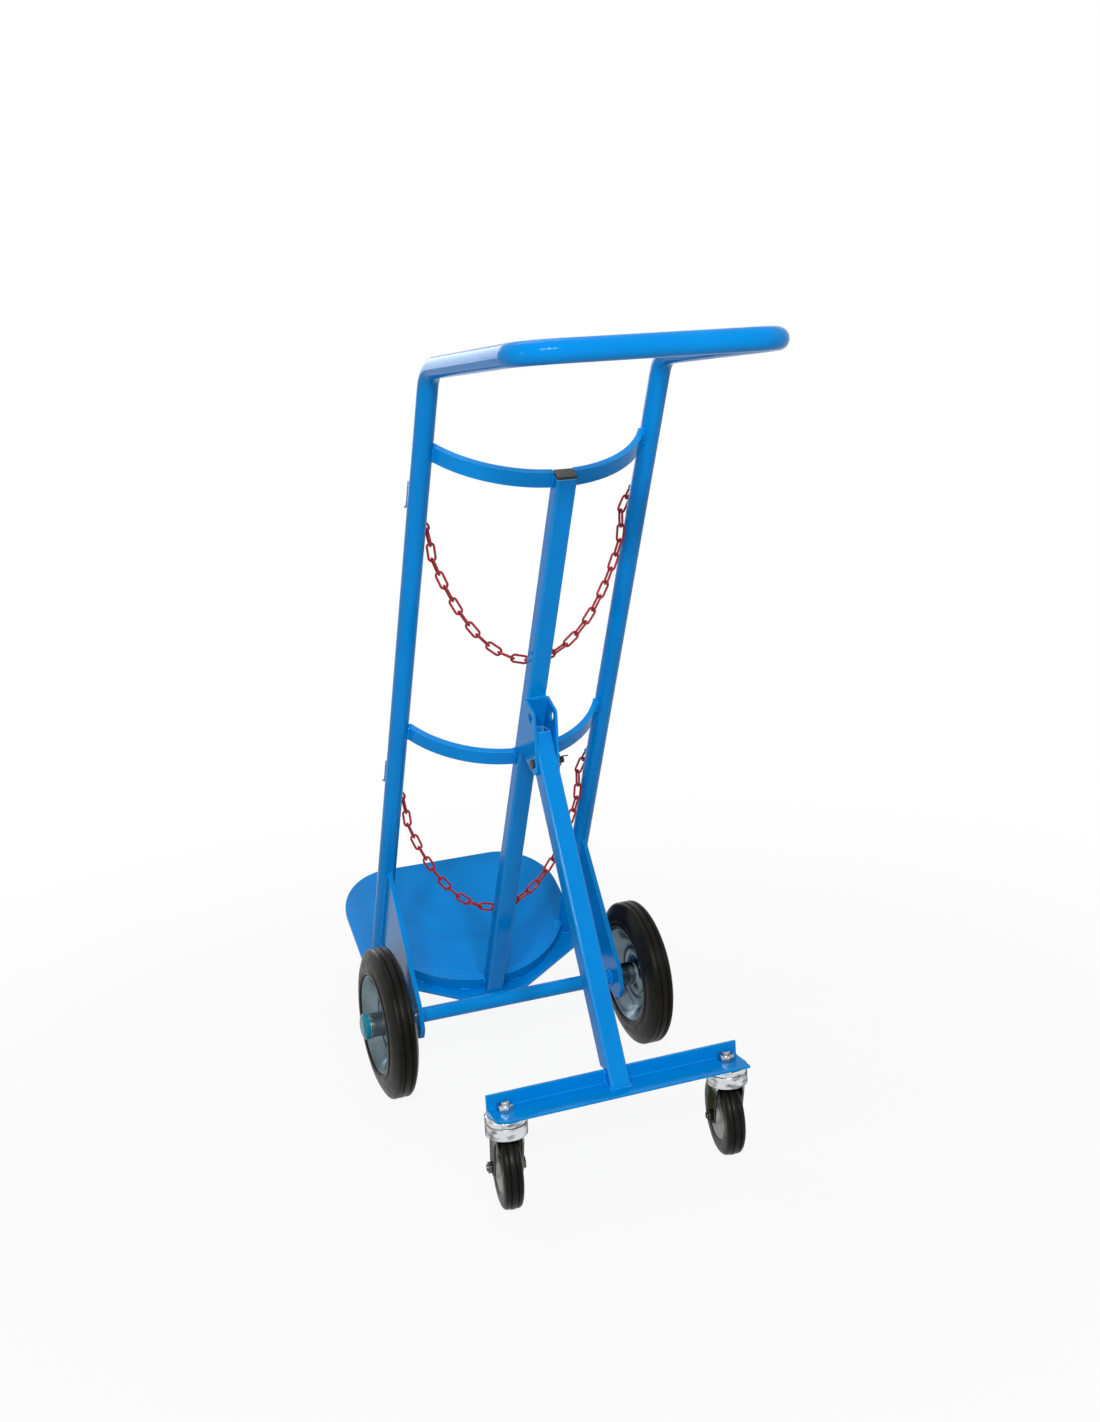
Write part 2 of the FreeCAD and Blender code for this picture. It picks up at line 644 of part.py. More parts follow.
# Castor beam, measured behind the axle and up from the floor
beam_front = STEM_Y + BEAM_CORNER_AHEAD
beam_rear = beam_front - BEAM_FLAT
beam_top = CASTOR_HIGH + BEAM_THICK
beam_outline = [
    (beam_rear, CASTOR_HIGH),
    (beam_front, CASTOR_HIGH),
    (beam_front, CASTOR_HIGH + BEAM_UPRIGHT),
    (beam_front - BEAM_THICK, CASTOR_HIGH + BEAM_UPRIGHT),
    (beam_front - BEAM_THICK, beam_top),
    (beam_rear, beam_top),
]
beam_radii = [0, BEAM_FILLET, 0, 0, BEAM_FILLET, 0]
beam = side_plate(beam_outline, beam_radii, -BEAM_LENGTH / 2.0, BEAM_LENGTH / 2.0)
corner_cut = plate(
    [
        V(-BEAM_LENGTH / 2.0, beam_rear, CASTOR_HIGH),
        V(-BEAM_LENGTH / 2.0 + BEAM_CUT, beam_rear, CASTOR_HIGH),
        V(-BEAM_LENGTH / 2.0, beam_rear + BEAM_CUT, CASTOR_HIGH),
    ],
    [0, 0, 0],
    V(0, 0, BEAM_THICK),
)
beam = beam.cut(corner_cut)
for side in (-1, 1):
    hole = Part.makeCylinder(STEM_R + RUNNING_FIT, BEAM_THICK, V(side * STEM_X, STEM_Y, CASTOR_HIGH))
    beam = beam.cut(hole)
save("castor_beam", level(beam))

# Prop leg, from its stop on the bracket down to the beam
pin_y = PIN_V * math.cos(lean) - pin_w * math.sin(lean)
pin_z = axle_z + PIN_V * math.sin(lean) + pin_w * math.cos(lean)
leg_foot_y = STEM_Y + LEG_FOOT_AHEAD
slope = math.atan2(pin_y - leg_foot_y, pin_z - beam_top)
from_mast = slope + lean
leg_top = (web_v - BEARING_GAP - PIN_V - LEG_SIDE / 2.0 * math.cos(from_mast)) / math.sin(from_mast)
leg_long = math.hypot(pin_y - leg_foot_y, pin_z - beam_top)
leg = square_tube(LEG_SIDE, LEG_SIDE, LEG_WALL, LEG_CORNER_R, -leg_long - LEG_SIDE, leg_top)
leg = leg.cut(rod_x(PIN_R + PIVOT_FIT, -LEG_SIDE, LEG_SIDE, 0, 0))
slant = [(-LEG_SIDE / 2.0, LEG_REAR_TOP), (LEG_SIDE / 2.0, leg_top), (-LEG_SIDE / 2.0, leg_top)]
leg = leg.cut(side_plate(slant, [0, 0, 0], -LEG_SIDE, LEG_SIDE))
leg.rotate(V(0, 0, 0), V(1, 0, 0), -math.degrees(slope))
leg.translate(V(0, pin_y, pin_z))
below = Part.makeBox(2.0 * LEG_SIDE, 4.0 * LEG_SIDE, beam_top, V(-LEG_SIDE, leg_foot_y - 2.0 * LEG_SIDE, 0))
leg = leg.cut(below).cut(beam)
ahead = Part.makeBox(
    2.0 * LEG_SIDE, LEG_SIDE, BEAM_UPRIGHT, V(-LEG_SIDE, beam_front - BEAM_THICK, CASTOR_HIGH)
)
leg = leg.cut(ahead)
save("prop_leg", level(leg))

# Castor heads, drawn about the stem with the floor at zero
race_low = CASTOR_HIGH - RACE_HIGH
crown_high = race_low - RACE_SPLIT
crown_low = crown_high - CROWN_HIGH
ball_z = race_low - RACE_SPLIT / 2.0
stem_hole = STEM_R + RUNNING_FIT
groove_r = BALL_R + BALL_GAP
groove = Part.makeTorus(BALL_CIRCLE_R, groove_r, V(0, 0, ball_z))
race = turned_z([
    (stem_hole, race_low),
    (RACE_R, race_low),
    (RACE_R, CASTOR_HIGH - 2.0),
    (RACE_R - 2.0, CASTOR_HIGH),
    (stem_hole, CASTOR_HIGH),
]).cut(groove)
crown_under = crown_high - CROWN_TOP
crown = turned_z([
    (stem_hole, crown_under),
    (CROWN_R - CROWN_WALL, crown_under),
    (CROWN_R - CROWN_WALL, crown_low),
    (CROWN_R - 1.0, crown_low),
    (CROWN_R, crown_low + 1.0),
    (CROWN_R, crown_high),
    (stem_hole, crown_high),
]).cut(groove)
balls = []
for i in range(BALL_COUNT):
    turn = 2.0 * math.pi * i / BALL_COUNT
    at = V(BALL_CIRCLE_R * math.cos(turn), BALL_CIRCLE_R * math.sin(turn), ball_z)
    balls.append(Part.makeSphere(BALL_R, at))
head_high = crown_under - BEARING_GAP
stem = Part.makeCylinder(STEM_R, beam_top + NUT_HIGH + STEM_SHOWING - head_high, V(0, 0, head_high))
king = stem.fuse(hexagon(NUT_FLATS, HEAD_HIGH, V(0, 0, head_high - HEAD_HIGH), V(0, 0, 1)))
nut = hexagon(NUT_FLATS, NUT_HIGH, V(0, 0, beam_top), V(0, 0, 1))
nut = nut.cut(Part.makeCylinder(STEM_R, NUT_HIGH, V(0, 0, beam_top)))
axle_y = -CASTOR_TRAIL
arm_in = CASTOR_HALF + FORK_GAP
arm_out = arm_in + FORK_SHEET
arm_outline = [
    (-FORK_TOP_HALF, crown_high - CROWN_TOP / 2.0),
    (FORK_TOP_HALF, crown_high - CROWN_TOP / 2.0),
    (FORK_TOP_HALF, crown_low - 4.0),
    (axle_y + FORK_FOOT_R, CASTOR_WHEEL_R - FORK_FOOT_R),
    (axle_y - FORK_FOOT_R, CASTOR_WHEEL_R - FORK_FOOT_R),
    (axle_y - FORK_FOOT_R, CASTOR_WHEEL_R + FORK_FOOT_R / 2.0),
]
arm_radii = [0, 0, 6.0, FORK_FOOT_R - 1.0, FORK_FOOT_R - 1.0, 6.0]
fork = crown
for side in (-1, 1):
    arm = side_plate(arm_outline, arm_radii, side * arm_in, side * arm_out).cut(groove)
    fork = fork.fuse(arm)
fork = fork.cut(rod_x(CASTOR_AXLE_R + RUNNING_FIT, -arm_out, arm_out, axle_y, CASTOR_WHEEL_R))
fork = fork.cut(rod_x(CASTOR_WHEEL_R + FORK_ROOM, -arm_in, arm_in, axle_y, CASTOR_WHEEL_R))
axle_bolt = rod_x(CASTOR_AXLE_R, -arm_out, arm_out + CASTOR_NUT_HIGH + 2.0, 0, 0)
bolt_head = hexagon(CASTOR_NUT_FLATS, CASTOR_NUT_HIGH, V(-arm_out, 0, 0), V(-1, 0, 0))
axle_bolt = axle_bolt.fuse(bolt_head)
axle_nut = hexagon(CASTOR_NUT_FLATS, CASTOR_NUT_HIGH, V(arm_out, 0, 0), V(1, 0, 0))
axle_nut = axle_nut.cut(rod_x(CASTOR_AXLE_R, arm_out, arm_out + CASTOR_NUT_HIGH, 0, 0))
core_bore = CASTOR_AXLE_R + RUNNING_FIT
boss_half = arm_in - SIDE_PLAY
core_half = [
    (boss_half, core_bore),
    (boss_half, CASTOR_BOSS_R),
    (CASTOR_HALF - 2.0, CASTOR_BOSS_R + 1.0),
    (CASTOR_HALF - 1.0, CASTOR_CORE_R),
]
core = turned_x(core_half + flipped(core_half[::-1], -1))
castor_tyre_half = [
    (CASTOR_HALF - 1.0, CASTOR_CORE_R),
    (CASTOR_HALF, CASTOR_CORE_R + 1.0),
    (CASTOR_HALF, CASTOR_WHEEL_R - 8.0),
    (CASTOR_HALF - 1.5, CASTOR_WHEEL_R - 3.5),
    (CASTOR_HALF - 4.5, CASTOR_WHEEL_R - 0.6),
    (CASTOR_HALF - 7.0, CASTOR_WHEEL_R - 0.6),
    (CASTOR_HALF - 7.5, CASTOR_WHEEL_R - 2.0),
    (CASTOR_HALF - 8.5, CASTOR_WHEEL_R - 2.0),
    (CASTOR_HALF - 9.0, CASTOR_WHEEL_R),
]
castor_tyre = turned_x(castor_tyre_half + flipped(castor_tyre_half[::-1], -1))


def at_stem(shape, side, swivel=0.0, y=0.0, z=0.0):
    placed = shape.copy()
    placed.translate(V(0, y, z))
    placed.rotate(V(0, 0, 0), V(0, 0, 1), swivel)
    placed.translate(V(side * STEM_X, STEM_Y, 0))
    return level(placed)


def both(shape):
    return Part.makeCompound([at_stem(shape, -1), at_stem(shape, 1)])


save("castor_top_races", both(race))
save("castor_king_bolts", both(king))
save("castor_nuts", both(nut))
for name, side in (("left", -1), ("right", 1)):
    on_axle = (side, PARKED_SWIVEL_DEG, axle_y, CASTOR_WHEEL_R)
    save(name + "_castor_fork", at_stem(fork, side, PARKED_SWIVEL_DEG))
    save(name + "_castor_balls", at_stem(Part.makeCompound(balls), side, PARKED_SWIVEL_DEG))
    save(name + "_castor_axle_bolt", at_stem(axle_bolt, *on_axle))
    save(name + "_castor_axle_nut", at_stem(axle_nut, *on_axle))
    save(name + "_castor_core", at_stem(core, *on_axle))
    save(name + "_castor_tyre", at_stem(castor_tyre, *on_axle))
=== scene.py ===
import json
import math

import bpy
from mathutils import Matrix, Vector


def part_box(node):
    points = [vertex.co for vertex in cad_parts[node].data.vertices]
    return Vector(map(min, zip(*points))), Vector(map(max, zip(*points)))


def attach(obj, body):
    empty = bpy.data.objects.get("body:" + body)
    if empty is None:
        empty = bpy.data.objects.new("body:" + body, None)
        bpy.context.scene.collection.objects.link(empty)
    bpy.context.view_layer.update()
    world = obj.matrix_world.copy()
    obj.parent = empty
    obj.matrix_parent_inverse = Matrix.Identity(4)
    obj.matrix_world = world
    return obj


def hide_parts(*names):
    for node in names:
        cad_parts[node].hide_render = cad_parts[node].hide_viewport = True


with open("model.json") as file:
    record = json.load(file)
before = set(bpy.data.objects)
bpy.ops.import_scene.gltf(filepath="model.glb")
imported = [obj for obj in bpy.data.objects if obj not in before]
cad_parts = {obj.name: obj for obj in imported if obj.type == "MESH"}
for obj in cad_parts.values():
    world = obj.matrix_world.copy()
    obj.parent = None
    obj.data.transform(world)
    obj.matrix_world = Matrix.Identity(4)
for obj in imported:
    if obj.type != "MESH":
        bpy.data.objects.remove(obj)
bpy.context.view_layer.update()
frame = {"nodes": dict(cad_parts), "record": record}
scene = bpy.context.scene
scene.view_settings.view_transform = "Standard"

# Camera, set where the photograph was taken from
FOCAL_PIXELS = 1678.25
IMAGE_WIDE = 1100
IMAGE_HIGH = 1422
SENSOR_HIGH = 36.0
AXIS_PIXEL = (552.04, 609.54)
CAMERA_PLACE = Vector((-0.7059, -1.9633, 1.0230))
YAW = math.radians(-20.79)
PITCH = math.radians(-9.90)
ROLL = math.radians(-3.01)

ahead = Vector((-math.sin(YAW) * math.cos(PITCH), math.cos(YAW) * math.cos(PITCH), math.sin(PITCH)))
right = Vector((math.cos(YAW), math.sin(YAW), 0))
up = right.cross(ahead)
right_rolled = right * math.cos(ROLL) + up * math.sin(ROLL)
up_rolled = up * math.cos(ROLL) - right * math.sin(ROLL)
lens = bpy.data.cameras.new("camera")
lens.sensor_fit = "VERTICAL"
lens.sensor_height = SENSOR_HIGH
lens.lens = FOCAL_PIXELS * SENSOR_HIGH / IMAGE_HIGH
lens.shift_x = (IMAGE_WIDE / 2 - AXIS_PIXEL[0]) / IMAGE_HIGH
lens.shift_y = (AXIS_PIXEL[1] - IMAGE_HIGH / 2) / IMAGE_HIGH
lens.clip_end = 50
camera = bpy.data.objects.new("camera", lens)
turn = Matrix((right_rolled, up_rolled, -ahead)).transposed()
camera.matrix_world = Matrix.Translation(CAMERA_PLACE) @ turn.to_4x4()
scene.collection.objects.link(camera)
scene.camera = camera


# Materials
def fresh_material(name):
    """A new material and its shader."""
    made = bpy.data.materials.new(name)
    made.use_nodes = True
    return made, made.node_tree, made.node_tree.nodes["Principled BSDF"]


def grain(tree, scale, detail=4.0, stretch=(1, 1, 1)):
    """Noise at a real scale on the object's own coordinates."""
    place = tree.nodes.new("ShaderNodeTexCoord")
    mapping = tree.nodes.new("ShaderNodeMapping")
    mapping.inputs["Scale"].default_value = stretch
    noise = tree.nodes.new("ShaderNodeTexNoise")
    noise.inputs["Scale"].default_value = scale
    noise.inputs["Detail"].default_value = detail
    tree.links.new(place.outputs["Object"], mapping.inputs["Vector"])
    tree.links.new(mapping.outputs["Vector"], noise.inputs["Vector"])
    return noise.outputs["Fac"]


def shades(tree, factor, stops):
    """Colours laid along a factor."""
    ramp = tree.nodes.new("ShaderNodeValToRGB")
    places = ramp.color_ramp.elements
    while len(places) < len(stops):
        places.new(0.5)
    for element, (at, colour) in zip(places, stops):
        element.position = at
        element.color = (*colour, 1)
    tree.links.new(factor, ramp.inputs["Fac"])
    return ramp.outputs["Color"]


def between(tree, factor, low, high):
    """A number that runs from low to high with a factor."""
    spread = tree.nodes.new("ShaderNodeMapRange")
    spread.inputs["From Min"].default_value = 0.3
    spread.inputs["From Max"].default_value = 0.7
    spread.inputs["To Min"].default_value = low
    spread.inputs["To Max"].default_value = high
    tree.links.new(factor, spread.inputs["Value"])
    return spread.outputs["Result"]


def relief(tree, shader, height, strength, depth, edge=None):
    """Small bumps on the surface, over softened edges where these are given."""
    bump = tree.nodes.new("ShaderNodeBump")
    bump.inputs["Strength"].default_value = strength
    bump.inputs["Distance"].default_value = depth
    tree.links.new(height, bump.inputs["Height"])
    if edge is not None:
        tree.links.new(edge, bump.inputs["Normal"])
    tree.links.new(bump.outputs["Normal"], shader.inputs["Normal"])


def soft_edge(tree, radius):
    """The surface's direction, rounded off near its edges."""
    rounded = tree.nodes.new("ShaderNodeBevel")
    rounded.samples = 6
    rounded.inputs["Radius"].default_value = radius
    return rounded.outputs["Normal"]


def edge_share(tree, rounded):
    """Nought on the flat and up to one where an edge is rounded off."""
    shape = tree.nodes.new("ShaderNodeNewGeometry")
    along = tree.nodes.new("ShaderNodeVectorMath")
    along.operation = "DOT_PRODUCT"
    tree.links.new(rounded, along.inputs[0])
    tree.links.new(shape.outputs["Normal"], along.inputs[1])
    spread = tree.nodes.new("ShaderNodeMapRange")
    spread.inputs["From Min"].default_value = 1.0
    spread.inputs["From Max"].default_value = 0.8
    tree.links.new(along.outputs["Value"], spread.inputs["Value"])
    return spread.outputs["Result"]


def laid_over(tree, factor, under, over):
    """One colour laid over another by a factor."""
    mix = tree.nodes.new("ShaderNodeMix")
    mix.data_type = "RGBA"
    tree.links.new(factor, mix.inputs["Factor"])
    tree.links.new(under, mix.inputs["A"])
    mix.inputs["B"].default_value = (*over, 1)
    return mix.outputs["Result"]


def blue_powder_coat(name, corner, edge):
    """Glossy blue with an orange-peel skin, with a paler painted highlight laid along its rounded edges."""
    made, tree, shader = fresh_material(name)
    blotch = grain(tree, 11.0, 6.0)
    blues = [(0.28, (0.0, 0.205, 0.60)), (0.5, (0.0, 0.228, 0.645)), (0.75, (0.0, 0.245, 0.675))]
    rounded = soft_edge(tree, corner)
    painted_edge_highlight = edge_share(tree, rounded)
    # Painted highlight: the edge colour laid over the blue where edges are rounded
    colour = laid_over(tree, painted_edge_highlight, shades(tree, blotch, blues), edge)
    tree.links.new(colour, shader.inputs["Base Color"])
    tree.links.new(between(tree, grain(tree, 55.0, 5.0), 0.10, 0.17), shader.inputs["Roughness"])
    shader.inputs["Specular IOR Level"].default_value = 0.08
    orange_peel = grain(tree, 420.0, 2.0)
    relief(tree, shader, orange_peel, 0.07, 0.0004, rounded)
    return made


def red_chain_coat():
    """Satin red, darker where the links rub."""
    made, tree, shader = fresh_material("red_chain_coat")
    wear = grain(tree, 180.0, 8.0)
    reds = [(0.3, (0.20, 0.009, 0.014)), (0.55, (0.36, 0.016, 0.026)), (0.78, (0.46, 0.03, 0.045))]
    tree.links.new(shades(tree, wear, reds), shader.inputs["Base Color"])
    tree.links.new(between(tree, grain(tree, 300.0), 0.32, 0.52), shader.inputs["Roughness"])
    shader.inputs["Specular IOR Level"].default_value = 0.25
    relief(tree, shader, grain(tree, 1400.0, 3.0), 0.15, 0.0003)
    return made


def bright_zinc(name, dark, pale, smooth, rough):
    """Plated steel with soft light and dark clouds in its colour, partly the plating's own tone and partly painted
    reflection.
    """
    made, tree, shader = fresh_material(name)
    shader.inputs["Metallic"].default_value = 1.0
    # Light and dark clouds in the colour: partly the plating's own tone, partly painted reflection
    cloud = grain(tree, 22.0, 3.0)
    tree.links.new(shades(tree, cloud, [(0.3, dark), (0.7, pale)]), shader.inputs["Base Color"])
    shader.inputs["Specular Tint"].default_value = (0.6, 0.66, 0.7, 1)
    tree.links.new(between(tree, grain(tree, 60.0, 4.0), smooth, rough), shader.inputs["Roughness"])
    relief(tree, shader, grain(tree, 120.0, 2.0), 0.03, 0.0004, soft_edge(tree, 0.0007))
    return made


# Heights over which the castor zinc goes from the painted shade of the arms to the lit crown
ARMS_TOP = 0.086
CROWN_FOOT = 0.100


def castor_plating(name, arms_painted_shade, crown_lit, dark):
    """Zinc with light painted in: light on the castor's crown and darker on its arms as painted shade and reflection,
    with dark patches painted in as reflections.
    """
    made, tree, shader = fresh_material(name)
    shader.inputs["Metallic"].default_value = 1.0
    place = tree.nodes.new("ShaderNodeTexCoord")
    parts = tree.nodes.new("ShaderNodeSeparateXYZ")
    tree.links.new(place.outputs["Object"], parts.inputs["Vector"])
    rise = tree.nodes.new("ShaderNodeMapRange")
    rise.inputs["From Min"].default_value = ARMS_TOP
    rise.inputs["From Max"].default_value = CROWN_FOOT
    tree.links.new(parts.outputs["Z"], rise.inputs["Value"])
    # Painted shade and reflection: the arms under the beam are darker than the crown
    colour = shades(tree, rise.outputs["Result"], [(0.0, arms_painted_shade), (1.0, crown_lit)])
    # Dark patches from noise: painted reflection of dark surroundings in the plating
    painted_reflection_patches = tree.nodes.new("ShaderNodeMapRange")
    painted_reflection_patches.inputs["From Min"].default_value = 0.47
    painted_reflection_patches.inputs["From Max"].default_value = 0.66
    painted_reflection_patches.inputs["To Max"].default_value = 0.85
    tree.links.new(grain(tree, 70.0, 3.0, (1, 1, 2.5)), painted_reflection_patches.inputs["Value"])
    tree.links.new(laid_over(tree, painted_reflection_patches.outputs["Result"], colour, dark), shader.inputs["Base Color"])
    shader.inputs["Specular Tint"].default_value = (0.25, 0.27, 0.24, 1)
    tree.links.new(between(tree, grain(tree, 60.0, 4.0), 0.10, 0.20), shader.inputs["Roughness"])
    relief(tree, shader, grain(tree, 90.0, 2.0), 0.30, 0.0012, soft_edge(tree, 0.0012))
    return made


def black_rubber(name, dark, pale, rough):
    """Matt black rubber with a little dust."""
    made, tree, shader = fresh_material(name)
    dust = grain(tree, 45.0, 8.0)
    tree.links.new(shades(tree, dust, [(0.35, dark), (0.75, pale)]), shader.inputs["Base Color"])
    tree.links.new(between(tree, grain(tree, 90.0, 6.0), rough - 0.1, rough + 0.08), shader.inputs["Roughness"])
    shader.inputs["Specular IOR Level"].default_value = 0.1
    relief(tree, shader, grain(tree, 1100.0, 4.0), 0.10, 0.0004, soft_edge(tree, 0.0008))
    return made


def moulded_plastic(name, dark, pale, smooth, rough, texture):
    """Plastic with the fine skin of its mould."""
    made, tree, shader = fresh_material(name)
    cloud = grain(tree, 70.0, 5.0)
    tree.links.new(shades(tree, cloud, [(0.35, dark), (0.7, pale)]), shader.inputs["Base Color"])
    tree.links.new(between(tree, grain(tree, 150.0), smooth, rough), shader.inputs["Roughness"])
    shader.inputs["Specular IOR Level"].default_value = 0.3
    relief(tree, shader, grain(tree, 1500.0, 3.0), texture, 0.0003, soft_edge(tree, 0.0007))
    return made


finishes = {
    # The last colour of each blue is a painted highlight on rounded edges, paler and wider on the square tubes' corners
    "blue_paint": blue_powder_coat("blue_powder_coat", 0.0011, (0.03, 0.40, 0.86)),
    "blue_tube": blue_powder_coat("blue_tube_coat", 0.0026, (0.24, 0.62, 0.95)),
    "red_paint": red_chain_coat(),
    "zinc": bright_zinc("bright_zinc", (0.26, 0.29, 0.30), (0.56, 0.59, 0.61), 0.12, 0.24),
    # A darker, bluish copy of the zinc for the rims: painted shade and painted reflection of the shaded floor and the
    # blue frame
    "rim_zinc_painted_shade": bright_zinc("rolled_zinc_painted_shade", (0.07, 0.10, 0.12), (0.18, 0.23, 0.26), 0.20, 0.30),
    # Castor zinc with painted shade on its arms and painted reflection patches
    "castor_zinc_painted_shade": castor_plating("castor_zinc_painted_shade", (0.12, 0.118, 0.11), (0.70, 0.73, 0.75), (0.13, 0.135, 0.13)),
    "ball_steel": bright_zinc("ball_steel", (0.62, 0.62, 0.64), (0.78, 0.78, 0.80), 0.08, 0.16),
    "rubber": black_rubber("tyre_rubber", (0.0035, 0.0034, 0.0030), (0.0105, 0.0098, 0.0082), 0.36),
    "castor_rubber": black_rubber("castor_rubber", (0.0042, 0.0041, 0.0036), (0.0115, 0.0108, 0.0092), 0.36),
    "grey_plastic": moulded_plastic("grey_wheel_plastic", (0.30, 0.30, 0.275), (0.39, 0.39, 0.36), 0.4, 0.55, 0.12),
    "black_plastic": moulded_plastic("black_cap_plastic", (0.008, 0.008, 0.009), (0.018, 0.018, 0.019), 0.35, 0.5, 0.2),
    "bush_plastic": moulded_plastic("bush_nylon", (0.50, 0.50, 0.46), (0.62, 0.62, 0.57), 0.4, 0.5, 0.1),
    "hub_cap": moulded_plastic("teal_hub_cap", (0.0, 0.16, 0.23), (0.002, 0.20, 0.28), 0.18, 0.28, 0.04),
    "pin_black": moulded_plastic("black_pin", (0.008, 0.008, 0.009), (0.018, 0.018, 0.019), 0.3, 0.45, 0.1),
}

slots = {entry["node"]: entry["material_slot"] for entry in frame["record"]["subparts"]}
# The castor races, forks, bolts and nuts take the zinc with painted shade and reflection
special = {
    "mast": "blue_tube",
    "prop_leg": "blue_tube",
    "castor_top_races": "castor_zinc_painted_shade",
}
for side in ("left", "right"):
    for part in ("_castor_fork", "_castor_axle_bolt", "_castor_axle_nut"):
        special[side + part] = "castor_zinc_painted_shade"
for node, thing in frame["nodes"].items():
    thing.data.materials.clear()
    thing.data.materials.append(finishes[special.get(node, slots[node])])


# Pieces made here. Leaning ones are drawn in the trolley's own axes: x across, v forward, w along the uprights,
# with the middle of the axle at zero. Those on the prop leg are measured behind the axle and up from the floor.
LEAN = math.radians(26.7)
AXLE_AHEAD = 0.118213
AXLE_UP = 0.100
SMOOTH_BELOW = math.radians(35)


def mm(x, y, z):
    """A place given in millimetres."""
    return Vector((x, y, z)) / 1000.0


def only(piece):
    """Select one piece and nothing else."""
    bpy.ops.object.select_all(action="DESELECT")
    piece.select_set(True)
    bpy.context.view_layer.objects.active = piece


def settle(piece):
    """Put the piece's place and turn into its mesh."""
    only(piece)
    bpy.ops.object.transform_apply(location=True, rotation=True, scale=True)


def lean_back(piece):
    """From the trolley's own axes to the parked position."""
    settle(piece)
    piece.rotation_euler = (LEAN, 0, 0)
    piece.location = (0, AXLE_AHEAD, AXLE_UP)
    settle(piece)


def stand_behind(piece):
    """From places measured behind the axle to the parked position."""
    settle(piece)
    piece.location = (0, AXLE_AHEAD, 0)
    settle(piece)


def finish_with(piece, kind, **settings):
    """Add one modifier and apply it."""
    only(piece)
    added = piece.modifiers.new(kind.lower(), kind)
    for setting, value in settings.items():
        setattr(added, setting, value)
    bpy.ops.object.modifier_apply(modifier=added.name)


def put_on(piece, name, slot, body, finish=None):
    """Name a finished piece, give it its slot's finish or another and let it ride on its body."""
    piece.name = name
    piece.data.name = name
    piece.data.materials.clear()
    piece.data.materials.append(finishes[finish or slot])
    only(piece)
    bpy.ops.object.shade_smooth_by_angle(angle=SMOOTH_BELOW)
    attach(piece, body)


def pick_faces(piece, wanted):
    """Select the faces that a test on their middle and direction accepts."""
    bpy.ops.object.mode_set(mode="EDIT")
    bpy.ops.mesh.select_mode(type="FACE")
    bpy.ops.mesh.select_all(action="DESELECT")
    bpy.ops.object.mode_set(mode="OBJECT")
    for face in piece.data.polygons:
        face.select = wanted(face.center, face.normal)
    bpy.ops.object.mode_set(mode="EDIT")


def pick_edges(piece, wanted):
    """Select the edges that a test on their two ends accepts."""
    bpy.ops.object.mode_set(mode="EDIT")
    bpy.ops.mesh.select_mode(type="EDGE")
    bpy.ops.mesh.select_all(action="DESELECT")
    bpy.ops.object.mode_set(mode="OBJECT")
    corners = piece.data.vertices
    for edge in piece.data.edges:
        edge.select = wanted(corners[edge.vertices[0]].co, corners[edge.vertices[1]].co)
    bpy.ops.object.mode_set(mode="EDIT")


# Weld beads: drops laid along a seam and melted into one run. Places on a seam are in millimetres.
DROP_STEP = 0.00085
MELT_VOXEL = 0.00026
UPPER_TOP, LOWER_TOP, RIM_TOP = 795, 377, -46
BAR_SEAM_LOW, BAR_SEAM_HIGH = 18.5, 1.5
BEAD_LIFT = 0.2
GUSSET_FACES = (141.3, 148.7)
PLATE_SEAM = -65.4
PLATE_MIDDLE = 233.5
NEARLY_ROUND = 348
CHAIN_ENDS = (700, 268)
BEAM_SEAM = 124.6

bpy.ops.object.select_all(action="DESELECT")
bpy.ops.mesh.primitive_ico_sphere_add(subdivisions=2, radius=0.001)
weld_drop = bpy.context.object
bpy.ops.object.mode_set(mode="EDIT")
bpy.ops.mesh.select_all(action="SELECT")
bpy.ops.transform.resize(value=(0.62, 1.0, 1.0))
bpy.ops.object.mode_set(mode="OBJECT")


def upright_seam(x, y, low, high):
    """Seam that runs straight up."""
    return [mm(x, y, low), mm(x, y, high)]


def round_seam(middle, radius, first, last, axis):
    """Seam round a tube or bar, from one angle to another, about the axis X or Z."""
    places = []
    steps = max(4, int(abs(last - first) / 12))
    for step in range(steps + 1):
        angle = math.radians(first + (last - first) * step / steps)
        side, rise = radius * math.cos(angle), radius * math.sin(angle)
        places.append(middle + (mm(0, side, rise) if axis == "X" else mm(side, rise, 0)))
    return places


def weld_run(seams, size):
    """All the drops of some seams, melted together."""
    drops = []
    for seam in seams:
        carried = 0.0
        for start, end in zip(seam, seam[1:]):
            along = end - start
            turn = along.to_track_quat("X", "Z").to_matrix().to_4x4()
            while carried <= along.length:
                wobble = 1.0 + 0.13 * math.sin(7.3 * len(drops)) + 0.08 * math.sin(2.9 * len(drops) + 1.0)
                drop = weld_drop.copy()
                drop.data = weld_drop.data.copy()
                at = start + along * (carried / along.length)
                drop.matrix_world = Matrix.Translation(at) @ turn @ Matrix.Scale(size * wobble, 4)
                scene.collection.objects.link(drop)
                drops.append(drop)
                carried = carried + DROP_STEP * size
            carried = carried - along.length
    bpy.ops.object.select_all(action="DESELECT")
    for drop in drops:
        drop.select_set(True)
    bpy.context.view_layer.objects.active = drops[0]
    bpy.ops.object.join()
    run = bpy.context.object
    settle(run)
    finish_with(run, "REMESH", mode="VOXEL", voxel_size=MELT_VOXEL * size)
    finish_with(run, "SMOOTH", factor=0.5, iterations=2)
    return run


def weld_on(name, seams, size, to_place, body):
    """Weld some seams, bring the run to the parked position and let it ride on its body."""
    run = weld_run(seams, size)
    to_place(run)
    put_on(run, name, "blue_paint", body)


